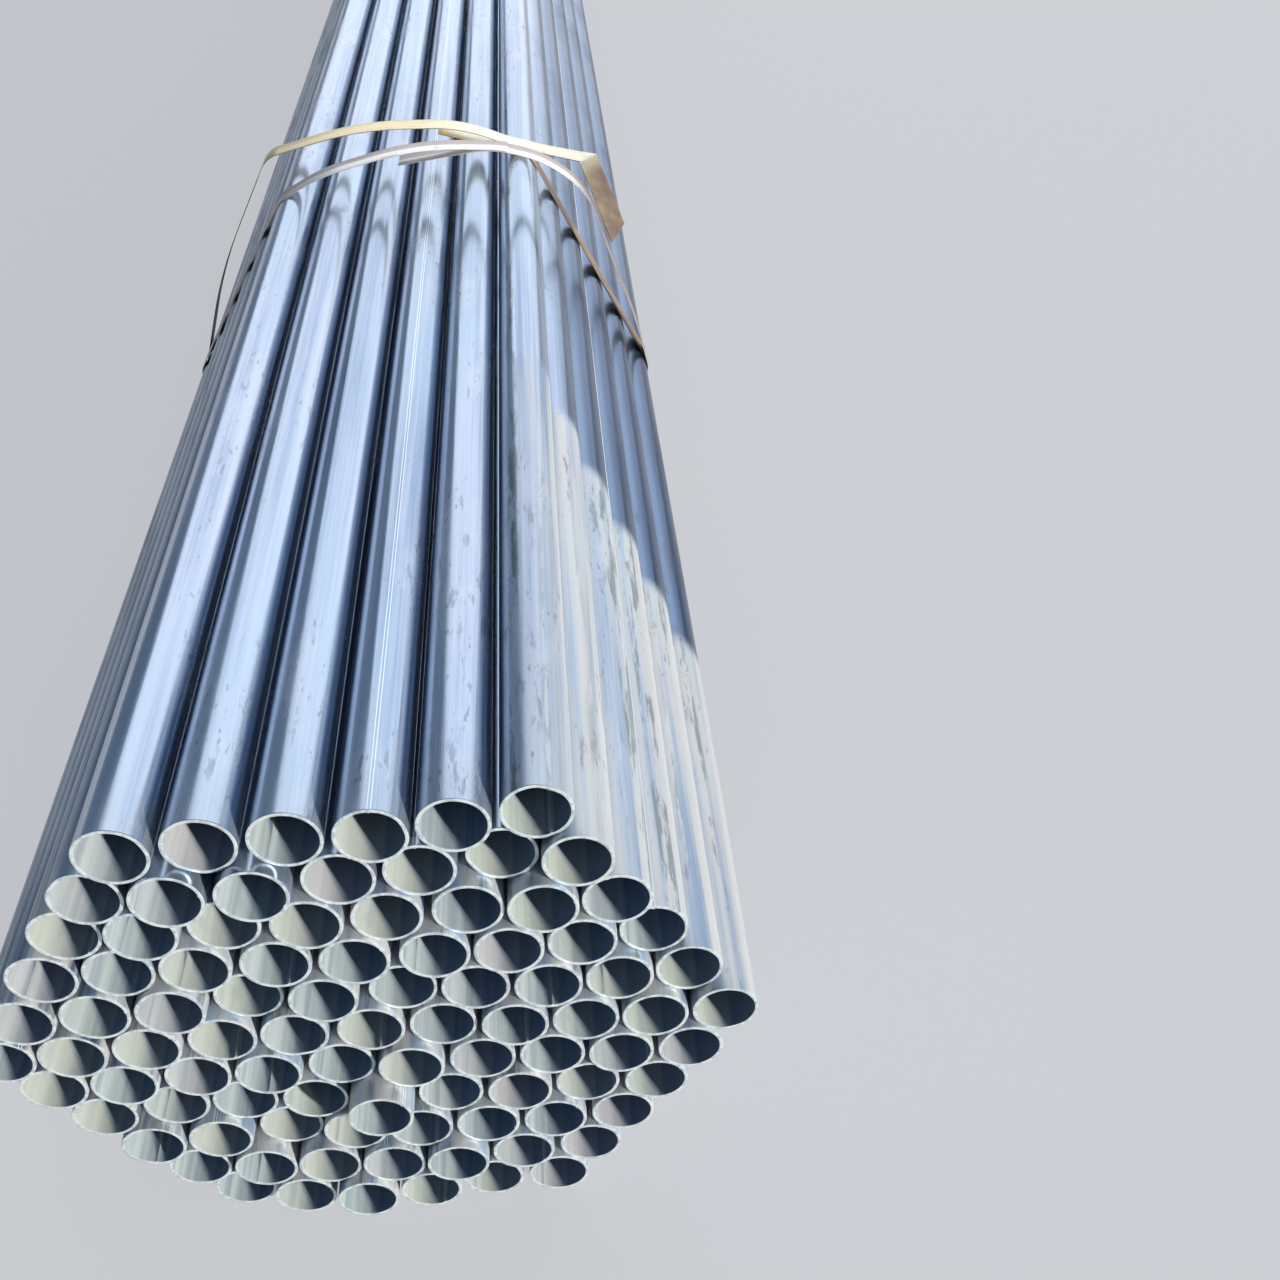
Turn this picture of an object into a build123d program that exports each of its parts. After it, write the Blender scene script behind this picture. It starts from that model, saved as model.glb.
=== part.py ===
from build123d import *
import math
import os

# A mill bundle of welded steel tubes, stacked to a hexagon and held by steel strapping.
# The tubes lie along Y with the open ends of the picture towards -Y. X runs across the bundle
# and Z is up. The origin is on the floor under the middle of the bundle. Sizes in millimetres.

# Tubes
tube_od = 48.3
tube_wall = 2.6
tube_length = 6000.0
tube_play = 0.2  # left between tubes that rest on each other

# How loosely the tubes lie, from the bottom row up to the widest row. The bottom row has one
# gap between each two tubes. The sides give the gap before the first and the last tube of each
# widening row. Every other tube lies in the notch between two tubes of the row below it.
bottom_gaps = (1.0, 2.0, 2.0, 2.0, 4.5)
left_gaps = (4.5, 2.5, 4.0, 3.0, 2.0)
right_gaps = (5.0, 4.5, 4.0, 3.5, 3.0)

# Ends of the tubes: most are within end_scatter of flush, a few were pushed out towards the
# front or knocked back. Keys are row from the top and place from the left.
end_scatter = 2.5
pushed_out = {
    (1, 1): 6,
    (1, 4): 6,
    (2, 1): 5,
    (2, 2): 10,
    (2, 3): 12,
    (3, 2): 5,
    (7, 6): 7,
    (8, 5): 18,
    (10, 4): 8,
    (10, 5): 8,
    (11, 3): 9,
    (11, 4): 7,
}
knocked_back = {
    (1, 6): 6,
    (2, 6): 9,
    (4, 9): 7,
    (5, 4): 5,
    (5, 6): 7,
    (5, 10): 5,
    (8, 2): 5,
    (8, 3): 5,
    (8, 4): 5,
    (9, 3): 10,
    (10, 1): 8,
    (11, 1): 11,
}

# Strapping
strap_width = 32.0
strap_thickness = 0.9
strap_play = 0.3  # between a strap and what it lies on
front_station = 1040.0  # from the front ends to the two straps of the picture
back_station = 1040.0  # from the back ends to the last strap
tail_length = 108.0  # folded tail of the golden strap
tail_turn = 42.0  # how far its fold is turned from square, in degrees
tail_out = 24.0  # how far the tail stands away from the bundle as it hangs, in degrees
tail_forward = 41.0  # how far it hangs towards the front, in degrees
tail_snip = 14.0  # how much shorter the tail is at its back corner
lap_straight = 8.0  # straight end of the upper ply on the crest of the silvery strap
lap_length = 90.0  # how far the two ends of a tight strap lie on each other
seal_length = 45.0  # crimped seal round the lapped ends of a tight strap
seal_thickness = 1.0

tube_radius = tube_od / 2
ply = strap_thickness + strap_play
touch = tube_od + tube_play


def notch(a, b):
    """Centre of the tube that rests on the two tubes a and b, touching both."""
    dx = b[0] - a[0]
    dz = b[1] - a[1]
    apart = math.hypot(dx, dz)
    rise = math.sqrt(touch**2 - (apart / 2) ** 2)
    return ((a[0] + b[0]) / 2 - dz / apart * rise, (a[1] + b[1]) / 2 + dx / apart * rise)


def shoulder(low, inner, gap, side):
    """Centre of an outermost tube: it rests on low and stands off its neighbour by gap."""
    dx = inner[0] - low[0]
    dz = inner[1] - low[1]
    apart = math.hypot(dx, dz)
    pitch = tube_od + gap
    along = (touch**2 - pitch**2 + apart**2) / (2 * apart)
    off = math.sqrt(touch**2 - along**2)
    x = low[0] + along * dx / apart
    z = low[1] + along * dz / apart
    first = (x - dz / apart * off, z + dx / apart * off)
    second = (x + dz / apart * off, z - dx / apart * off)
    return min(first, second) if side < 0 else max(first, second)


def stacked_rows():
    """Centres of the tubes, rows from the top down, each row from the left."""
    row = [(0.0, 0.0)]
    for gap in bottom_gaps:
        row.append((row[-1][0] + tube_od + gap, 0.0))
    rows = [row]
    for left, right in zip(left_gaps, right_gaps):
        inner = [notch(a, b) for a, b in zip(row, row[1:])]
        first = shoulder(row[0], inner[0], left, -1)
        last = shoulder(row[-1], inner[-1], right, 1)
        row = [first] + inner + [last]
        rows.append(row)
    while len(row) > len(bottom_gaps) + 1:
        row = [notch(a, b) for a, b in zip(row, row[1:])]
        rows.append(row)
    return rows[::-1]


def end_shift(row, place):
    """How far the front end of a tube stands out of the common plane, towards the front."""
    scatter = end_scatter * math.sin(5.0 * row + 2.3 * place * place)
    return scatter + pushed_out.get((row, place), 0) - knocked_back.get((row, place), 0)


# The whole stack is moved so that it is centred over the origin and clears the two plies of
# strapping that it lies on.
loose = stacked_rows()
all_x = [x for row in loose for x, z in row]
middle_x = (min(all_x) + max(all_x)) / 2
lift = 2 * ply + tube_radius
rows = [[(x - middle_x, z + lift) for x, z in row] for row in loose]
centres = [centre for row in rows for centre in row]
half_width = (max(all_x) - min(all_x)) / 2
widest_z = (min(centres)[1] + max(centres)[1]) / 2
crown_z = max(z for x, z in centres) + tube_radius
shifts = {
    (r, k): end_shift(r, k)
    for r, row in enumerate(rows, start=1)
    for k in range(1, len(row) + 1)
}
middle_shift = (max(shifts.values()) + min(shifts.values())) / 2
front_y = -tube_length / 2

os.makedirs("parts", exist_ok=True)

# Tubes, one file for each row. Each tube is its own solid and touches none of its neighbours.
for r, row in enumerate(rows, start=1):
    with BuildPart() as tubes:
        for k, (x, z) in enumerate(row, start=1):
            end_y = front_y - shifts[(r, k)] + middle_shift
            with BuildSketch(Plane.XZ.offset(-end_y - tube_length)):
                with Locations((x, z)):
                    Circle(tube_radius)
                    Circle(tube_radius - tube_wall, mode=Mode.SUBTRACT)
            extrude(amount=tube_length)
    tubes.part.label = f"tubes_row_{r:02d}"
    export_step(tubes.part, f"parts/{tubes.part.label}.step")


def turn(o, a, b):
    """Positive where the way from o over a to b bends to the left."""
    return (a[0] - o[0]) * (b[1] - o[1]) - (a[1] - o[1]) * (b[0] - o[0])


def outer_tubes():
    """Tubes that a tight strap bears on, anticlockwise from the top."""
    hull = []
    for way in (sorted(centres), sorted(centres, reverse=True)):
        half = []
        for centre in way:
            while len(half) > 1 and turn(half[-2], half[-1], centre) <= 0:
                half.pop()
            half.append(centre)
        hull += half[:-1]
    return sorted(hull, key=past_top)


def past_top(centre):
    """Angle from the top of the bundle to a tube, anticlockwise, in degrees."""
    angle = math.degrees(math.atan2(centre[1] - widest_z, centre[0]))
    return (angle - 90) % 360


def heading_between(a, b):
    """Direction of the straight run that leaves post a and meets post b."""
    r_a = a[2] if len(a) > 2 else 0.0
    r_b = b[2] if len(b) > 2 else 0.0
    apart = math.hypot(b[0] - a[0], b[1] - a[1])
    return math.atan2(b[1] - a[1], b[0] - a[0]) - math.asin((r_b - r_a) / apart)


def bend_between(before, after):
    """Change of direction, positive to the left."""
    return (after - before + math.pi) % (2 * math.pi) - math.pi


def rounded(posts):
    """The posts with each bare corner (x, z) turned into the widest post that fits it."""
    full = [posts[0]]
    for last, corner, following in zip(posts, posts[1:], posts[2:]):
        if len(corner) == 2:
            before = heading_between(last, corner)
            bend = bend_between(before, heading_between(corner, following))
            reach = 0.47 * min(math.dist(corner, last[:2]), math.dist(corner, following[:2]))
            radius = math.copysign(reach / math.tan(abs(bend) / 2), bend)
            out = radius / math.cos(bend / 2)
            x = corner[0] - out * math.sin(before + bend / 2)
            z = corner[1] + out * math.cos(before + bend / 2)
            corner = (x, z, radius)
        full.append(corner)
    return full + [posts[-1]]


def strip_side(posts, inward):
    """Lines and arcs of one side of a strip that runs anticlockwise round its posts.

    Each post is (x, z, radius): a positive radius lies to the left of the strip, a negative
    one to its right, and the ends have none. The side is shifted to the left by inward.
    """
    headings = [heading_between(a, b) for a, b in zip(posts, posts[1:])]
    start = side_point(posts[0], headings[0], inward)
    at = start
    for post, before, after in zip(posts[1:], headings, headings[1:] + headings[-1:]):
        arrive = side_point(post, before, inward)
        Line(at, arrive)
        at = side_point(post, after, inward)
        bend = bend_between(before, after)
        if abs(bend) > 1e-6:
            ThreePointArc(arrive, side_point(post, before + bend / 2, inward), at)
    return start, at


def side_point(post, heading, inward):
    reach = post[2] - inward
    return (post[0] + reach * math.sin(heading), post[1] - reach * math.cos(heading))


def strip_outline(posts):
    """Edges of the cross-section of a strap: a strip of its thickness round its posts."""
    posts = rounded(posts)
    with BuildLine() as outline:
        start_in, end_in = strip_side(posts, strap_thickness / 2)
        start_out, end_out = strip_side(posts, -strap_thickness / 2)
        Line(start_in, start_out)
        Line(end_in, end_out)
    return outline.edges()


def course_outline(points):
    """Plan of a leaning strap from the left: each point is (x, y, lean in degrees)."""
    with BuildLine() as outline:
        near = [(x, y - half_cut(lean)) for x, y, lean in points]
        far = [(x, y + half_cut(lean)) for x, y, lean in points]
        Polyline(*near, *far[::-1], close=True)
    return outline.edges()


def half_cut(lean):
    """Half the width of a strap along Y where it leans: it is cut wider than it is square."""
    return strap_width / 2 / math.cos(math.radians(lean))


def across(share):
    """X at a share of the half width of the bundle."""
    return share * half_width


def above(share):
    """Z above the crown of the bundle, as a share of the half width."""
    return crown_z + share * half_width


def behind(share):
    """Y behind the station of the front straps, as a share of the half width."""
    return front_strap_y + share * half_width


inner_ply = tube_radius + strap_play + strap_thickness / 2
outer_ply = inner_ply + ply
hull = outer_tubes()
corner_x = half_width + tube_radius + 2 * ply
front_strap_y = front_y + front_station
back_strap_y = tube_length / 2 - back_station

# Front strap 1 is golden and slack. Its upper ply stands off the left face and the top, leans
# back over the bundle and ends in a tail that is folded down beside the right face. Its lower
# ply runs tight down that face and leans towards the front.
strap_1_posts = [
    (across(0.97), above(0.004), 0.0),
    (across(0.80), above(0.004)),
    (across(0.54), above(0.016)),
    (across(0.25), above(0.132)),
    (across(-0.23), above(0.136)),
    (across(-0.60), above(-0.101), across(0.136)),
    (across(-0.97), above(-0.484)),
]
strap_1_posts += [(x, z, inner_ply) for x, z in hull if past_top((x, z)) > 85]
strap_1_posts += [(across(0.14), above(0.112) - ply, 0.0)]
course_end = 1.02 * corner_x
fold_x = across(0.85)
fold_y = behind(0.26)
top_course = [
    (-course_end, behind(0.147), 12),
    (across(-0.75), behind(0.426), 8),
    (across(0.56), behind(0.422), 10),
    (fold_x, fold_y, 30),
    (course_end, fold_y + 0.56 * (fold_x - course_end), 30),
]
face_course = [
    (-course_end, behind(0.147), 12),
    (across(-0.75), behind(0.426), 8),
    (across(0.56), behind(0.422), 10),
    (course_end, behind(-0.116), 27),
]
bottom_course = [
    (-course_end, behind(0.147), 12),
    (across(-0.50), behind(0.004), 0),
    (course_end, behind(-0.116), 27),
]
top_z = above(-0.02)
with BuildPart() as strap_1_course:
    with BuildSketch(Plane.XY.offset(top_z)):
        make_face(course_outline(top_course))
    extrude(amount=half_width)
    with BuildSketch(Plane.XY.offset(widest_z)):
        make_face(course_outline(face_course))
    extrude(amount=top_z - widest_z)
    with BuildSketch(Plane.XY.offset(widest_z)):
        make_face(course_outline(bottom_course))
    extrude(amount=-crown_z)

# The tail hangs from a fold that is turned from square, so that it hangs forwards as well.
turned = math.radians(tail_turn)
fold_way = Vector(math.sin(turned), math.cos(turned), 0.0)
hang_out = math.tan(math.radians(tail_out))
hang_forward = math.tan(math.radians(tail_forward))
hang_way = Vector(hang_out, -hang_forward, -1.0).normalized()
fold_centre = Vector(fold_x, fold_y, above(0.004))
fold_half = strap_width / 2 / math.sin(fold_way.get_angle(hang_way) * math.pi / 180)
with BuildPart() as strap_1:
    with BuildSketch(Plane.XZ.offset(-front_strap_y - half_width)):
        make_face(strip_outline(strap_1_posts))
    extrude(amount=2 * half_width)
    add(strap_1_course.part, mode=Mode.INTERSECT)
    # Everything of the upper ply past the fold goes.
    beyond = Plane(origin=fold_centre, x_dir=fold_way, z_dir=(math.cos(turned), -math.sin(turned), 0))
    with BuildSketch(beyond):
        Rectangle(4 * strap_width, 4 * ply)
    extrude(amount=3 * strap_width, mode=Mode.SUBTRACT)
    # The fold itself is a slim roll across the strap, and the tail hangs from it.
    with BuildSketch(Plane(origin=fold_centre - fold_half * fold_way, z_dir=fold_way)):
        Circle(strap_thickness)
    extrude(amount=2 * fold_half)
    tail_face = fold_way.cross(hang_way).normalized()
    with BuildSketch(Plane(origin=fold_centre, x_dir=fold_way, z_dir=tail_face)):
        drop = hang_way.dot(tail_face.cross(fold_way))
        slip = hang_way.dot(fold_way)
        full = Vector(slip, drop) * tail_length
        short = Vector(slip, drop) * (tail_length - tail_snip)
        with BuildLine():
            Polyline(
                (-fold_half, 0),
                (fold_half, 0),
                (fold_half + short.X, short.Y),
                (-fold_half + full.X, full.Y),
                close=True,
            )
        make_face()
    extrude(amount=strap_thickness / 2, both=True)
strap_1.part.label = "strap_front_golden"
export_step(strap_1.part, f"parts/{strap_1.part.label}.step")

# Front strap 2 is silvery. It is tight on the left face, bulges over the top and down the right
# side, and lies under strap 1 only where both go round the bottom. Its two ends overlap on the
# crest, and the lower one, the tail, droops towards the left.
crest = (across(0.38), above(-0.271), across(0.465))
lap_end = math.radians(8)
lap_end_x = crest[0] + crest[2] * math.sin(lap_end) + lap_straight * math.cos(lap_end)
lap_end_z = crest[1] + crest[2] * math.cos(lap_end) - lap_straight * math.sin(lap_end)
strap_2_posts = [
    (lap_end_x, lap_end_z, 0.0),
    crest,
    (across(0.06), above(0.202)),
    (across(-0.38), above(0.078)),
]
strap_2_posts += [(x, z, inner_ply) for x, z in hull if past_top((x, z)) < 40]
strap_2_posts += [(x, z, outer_ply) for x, z in hull if 40 < past_top((x, z)) < 280]
strap_2_posts += [
    (across(1.045), above(-0.640)),
    (across(0.935), above(-0.341)),
    (across(0.83), above(-0.008)),
    (across(0.64), above(0.140)),
    (crest[0], crest[1], crest[2] - ply),
    (across(-0.02), above(0.128), 0.0),
]
strap_2_course = [
    (-course_end, behind(0.019), 4),
    (course_end, behind(-0.116), 4),
]
with BuildPart() as strap_2:
    with BuildSketch(Plane.XZ.offset(-front_strap_y - half_width)):
        make_face(strip_outline(strap_2_posts))
    extrude(amount=2 * half_width)
    with BuildSketch(Plane.XY):
        make_face(course_outline(strap_2_course))
    extrude(amount=2 * crown_z, mode=Mode.INTERSECT)
strap_2.part.label = "strap_front_silvery"
export_step(strap_2.part, f"parts/{strap_2.part.label}.step")

# The other straps are tight and plain. The two ends of each lap on top of the bundle, inside a
# crimped seal.
seal_gap = seal_thickness + strap_play
lap_z = crown_z + strap_play + seal_gap + strap_thickness / 2
tight_posts = [
    (lap_length / 2, lap_z + ply, 0.0),
    (-lap_length, lap_z + ply),
]
tight_posts += [(x, z, inner_ply) for x, z in hull]
tight_posts += [
    (lap_length, lap_z),
    (-lap_length / 2, lap_z, 0.0),
]
for place, strap_y in (("middle", 0.0), ("back", back_strap_y)):
    with BuildPart() as strap:
        with BuildSketch(Plane.XZ.offset(-strap_y - strap_width / 2)):
            make_face(strip_outline(tight_posts))
        extrude(amount=strap_width)
    strap.part.label = f"strap_{place}"
    export_step(strap.part, f"parts/{strap.part.label}.step")

    with BuildPart() as seal:
        with BuildSketch(Plane.YZ.offset(-seal_length / 2)):
            with Locations((strap_y, lap_z + ply / 2)):
                held_width = strap_width + 2 * strap_play
                held_height = strap_thickness + ply + 2 * strap_play
                Rectangle(held_width + 2 * seal_thickness, held_height + 2 * seal_thickness)
                Rectangle(held_width, held_height, mode=Mode.SUBTRACT)
        extrude(amount=seal_length)
    seal.part.label = f"strap_seal_{place}"
    export_step(seal.part, f"parts/{seal.part.label}.step")
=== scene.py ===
"""Looks of a strapped bundle of welded steel tubes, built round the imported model."""

import logging
import math
import random
from dataclasses import dataclass, field
from enum import Enum
from typing import Union

import bmesh
import bpy
from mathutils import Matrix, Vector


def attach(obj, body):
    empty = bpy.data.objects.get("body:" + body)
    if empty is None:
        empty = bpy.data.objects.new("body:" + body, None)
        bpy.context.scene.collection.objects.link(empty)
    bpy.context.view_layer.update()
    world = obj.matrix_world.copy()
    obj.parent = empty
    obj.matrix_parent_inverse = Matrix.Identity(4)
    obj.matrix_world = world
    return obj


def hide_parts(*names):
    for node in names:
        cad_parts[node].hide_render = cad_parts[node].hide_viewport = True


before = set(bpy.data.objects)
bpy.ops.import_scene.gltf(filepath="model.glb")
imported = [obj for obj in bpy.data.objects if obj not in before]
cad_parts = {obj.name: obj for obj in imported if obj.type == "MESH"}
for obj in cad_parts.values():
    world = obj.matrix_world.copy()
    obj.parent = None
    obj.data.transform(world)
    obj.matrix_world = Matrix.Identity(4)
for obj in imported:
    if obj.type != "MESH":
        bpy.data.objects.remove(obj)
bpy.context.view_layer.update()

log = logging.getLogger("tube_bundle")

Colour = tuple[float, float, float]
Triple = tuple[float, float, float]
Span = tuple[float, float]

MM = 0.001
TUBE_LENGTH = 6.0

# What the meshes carry for their finishes
TONE = "tube_tone"
AROUND_ALONG = "around_along"
FRONT_SHARE = "front_share"

# Points nearer than this are one, and faces that meet at these angles in radians are sharp or smooth
SAME_POINT = 0.001 * MM
SHARP_ANGLE = 1.2
SMOOTH_ANGLE = 0.6


class Wire:
    """An output socket whose arithmetic adds Math nodes to its tree."""

    def __init__(self, plan: "NodePlan", socket: bpy.types.NodeSocket) -> None:
        """Keep the socket and the plan that it belongs to."""
        self.plan = plan
        self.socket = socket

    def _math(self, operation: str, first: "Operand", second: "Operand" = 0.0) -> "Wire":
        """Add a Math node.

        Args:
            operation: The node's operation, such as "MULTIPLY".
            first: Its first value.
            second: Its second value.

        Returns:
            The node's result.
        """
        return self.plan.add("ShaderNodeMath", {"operation": operation}, {0: first, 1: second})[0]

    def __add__(self, other: "Operand") -> "Wire":
        """Sum with a value or a wire."""
        return self._math("ADD", self, other)

    def __radd__(self, other: "Operand") -> "Wire":
        """Sum with a value on the left."""
        return self._math("ADD", other, self)

    def __sub__(self, other: "Operand") -> "Wire":
        """Difference to a value or a wire."""
        return self._math("SUBTRACT", self, other)

    def __rsub__(self, other: "Operand") -> "Wire":
        """Difference from a value on the left."""
        return self._math("SUBTRACT", other, self)

    def __mul__(self, other: "Operand") -> "Wire":
        """Product with a value or a wire."""
        return self._math("MULTIPLY", self, other)

    def __rmul__(self, other: "Operand") -> "Wire":
        """Product with a value on the left."""
        return self._math("MULTIPLY", other, self)

    def __abs__(self) -> "Wire":
        """Size without the sign."""
        return self._math("ABSOLUTE", self)

    def smaller(self, other: "Operand") -> "Wire":
        """The smaller of this and another value."""
        return self._math("MINIMUM", self, other)

    def larger(self, other: "Operand") -> "Wire":
        """The larger of this and another value."""
        return self._math("MAXIMUM", self, other)

    def rise(self, low: float, high: float) -> "Wire":
        """Smooth step over the wire's value.

        Args:
            low: Value at which the step begins, giving 0.
            high: Value at which it ends, giving 1.

        Returns:
            The step, from 0 to 1.
        """
        settings = {"interpolation_type": "SMOOTHSTEP"}
        inputs = {"Value": self, "From Min": low, "From Max": high}
        return self.plan.add("ShaderNodeMapRange", settings, inputs)[0]

    def band(self, middle: float, reach: float) -> "Wire":
        """Narrow ridge over the wire's value.

        Args:
            middle: Value at which the ridge is 1.
            reach: Distance from it at which the ridge is 0.

        Returns:
            The ridge, from 0 to 1.
        """
        return 1.0 - abs(self - middle).rise(0.0, reach)


Operand = Union[float, Wire]


class PlacedNode:
    """A node that is in its tree, whose outputs are taken by name or number."""

    def __init__(self, plan: "NodePlan", node: bpy.types.Node) -> None:
        """Keep the node and its plan."""
        self.plan = plan
        self.node = node

    def __getitem__(self, output: Union[int, str]) -> Wire:
        """Wire from one of the node's outputs."""
        return Wire(self.plan, self.node.outputs[output])


@dataclass(frozen=True)
class Grain:
    """A noise: its features per metre along X, Y and Z, its octaves and how strong the finer ones are."""

    scale: Triple
    detail: float = 3.0
    roughness: float = 0.5


@dataclass(frozen=True)
class Relief:
    """A bump: its strength and its depth in metres."""

    strength: float
    depth: float


class NodePlan:
    """Draws up the node tree of a finish, the floor or the surroundings."""

    def __init__(self, tree: bpy.types.NodeTree) -> None:
        """Start from an empty tree."""
        self.tree = tree
        tree.nodes.clear()

    def add(
        self, kind: str, settings: Union[dict, None] = None, inputs: Union[dict, None] = None
    ) -> PlacedNode:
        """Place a node.

        Args:
            kind: Blender's name of the node type.
            settings: The node's own settings, set first.
            inputs: Values or wires of its sockets, by name or number.

        Returns:
            The placed node.
        """
        node = self.tree.nodes.new(kind)
        for key, value in (settings or {}).items():
            setattr(node, key, value)
        for key, value in (inputs or {}).items():
            if isinstance(value, Wire):
                self.tree.links.new(value.socket, node.inputs[key])
            elif node.inputs[key].type == "RGBA":
                node.inputs[key].default_value = (*value, 1.0)
            else:
                node.inputs[key].default_value = value
        return PlacedNode(self, node)

    def object_place(self) -> Wire:
        """Object coordinates, in metres in the frame of the bundle."""
        return self.add("ShaderNodeTexCoord")["Object"]

    def axis(self, place: Wire, axis: str) -> Wire:
        """One of X, Y and Z of a place."""
        return self.add("ShaderNodeSeparateXYZ", inputs={0: place})[axis]

    def facing_right(self) -> Wire:
        """How far the surface faces the right, which is +X, from -1 to 1."""
        return self.axis(self.add("ShaderNodeNewGeometry")["Normal"], "X")

    def stored(self, name: str) -> Wire:
        """A number that the mesh stores."""
        return self.add("ShaderNodeAttribute", {"attribute_name": name})["Fac"]

    def mapped(self, name: str, axis: str) -> Wire:
        """One of X and Y of the piece's own UV map."""
        return self.axis(self.add("ShaderNodeUVMap", {"uv_map": name})[0], axis)

    def noise(self, place: Wire, grain: Grain) -> Wire:
        """Noise that may be drawn out along an axis.

        Args:
            place: Coordinates that the noise is laid on.
            grain: How fine it is.

        Returns:
            The noise, about 0.3 to 0.7.
        """
        laid = self.add("ShaderNodeMapping", inputs={"Vector": place, "Scale": grain.scale})[0]
        inputs = {"Vector": laid, "Scale": 1.0, "Detail": grain.detail, "Roughness": grain.roughness}
        return self.add("ShaderNodeTexNoise", inputs=inputs)[0]

    def blend(self, share: Operand, first: Union[Colour, Wire], second: Union[Colour, Wire]) -> Wire:
        """Mix two colours.

        Args:
            share: How much of the second colour shows, from 0 to 1.
            first: Colour at 0.
            second: Colour at 1.

        Returns:
            The mixed colour.
        """
        settings = {"data_type": "RGBA", "clamp_factor": True}
        return self.add("ShaderNodeMix", settings, {0: share, 6: first, 7: second})[2]

    def coats(self, base: Union[Colour, Wire], coats: list[tuple[Operand, Colour]]) -> Wire:
        """Lay colours over a base, one after the other.

        Args:
            base: Colour underneath.
            coats: Share and colour of each coat.

        Returns:
            The colour that shows.
        """
        for share, colour in coats:
            base = self.blend(share, base, colour)
        return base

    def relief(self, height: Wire, relief: Relief, normal: Union[Wire, None] = None) -> Wire:
        """Bump from a height.

        Args:
            height: Height from 0 to 1.
            relief: Strength and depth of the bump.
            normal: A normal that the bump is added to.

        Returns:
            The bumped normal.
        """
        inputs = {"Height": height, "Strength": relief.strength, "Distance": relief.depth}
        if normal is not None:
            inputs["Normal"] = normal
        return self.add("ShaderNodeBump", inputs=inputs)[0]

    def surface(self, shader: Wire) -> None:
        """Send a shader to the surface of the material or world.

        Args:
            shader: The shader.
        """
        world = any(item.node_tree == self.tree for item in bpy.data.worlds)
        kind = "ShaderNodeOutputWorld" if world else "ShaderNodeOutputMaterial"
        self.add(kind, inputs={"Surface": shader})

    def finish(self, inputs: dict) -> None:
        """Send a Principled shader with these inputs to the surface."""
        self.surface(self.add("ShaderNodeBsdfPrincipled", inputs=inputs)[0])


def new_finish(name: str) -> tuple[bpy.types.Material, NodePlan]:
    """Start a material.

    Args:
        name: Name of the material.

    Returns:
        The material and the plan of its node tree.
    """
    material = bpy.data.materials.new(name)
    material.use_nodes = True
    return material, NodePlan(material.node_tree)


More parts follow.
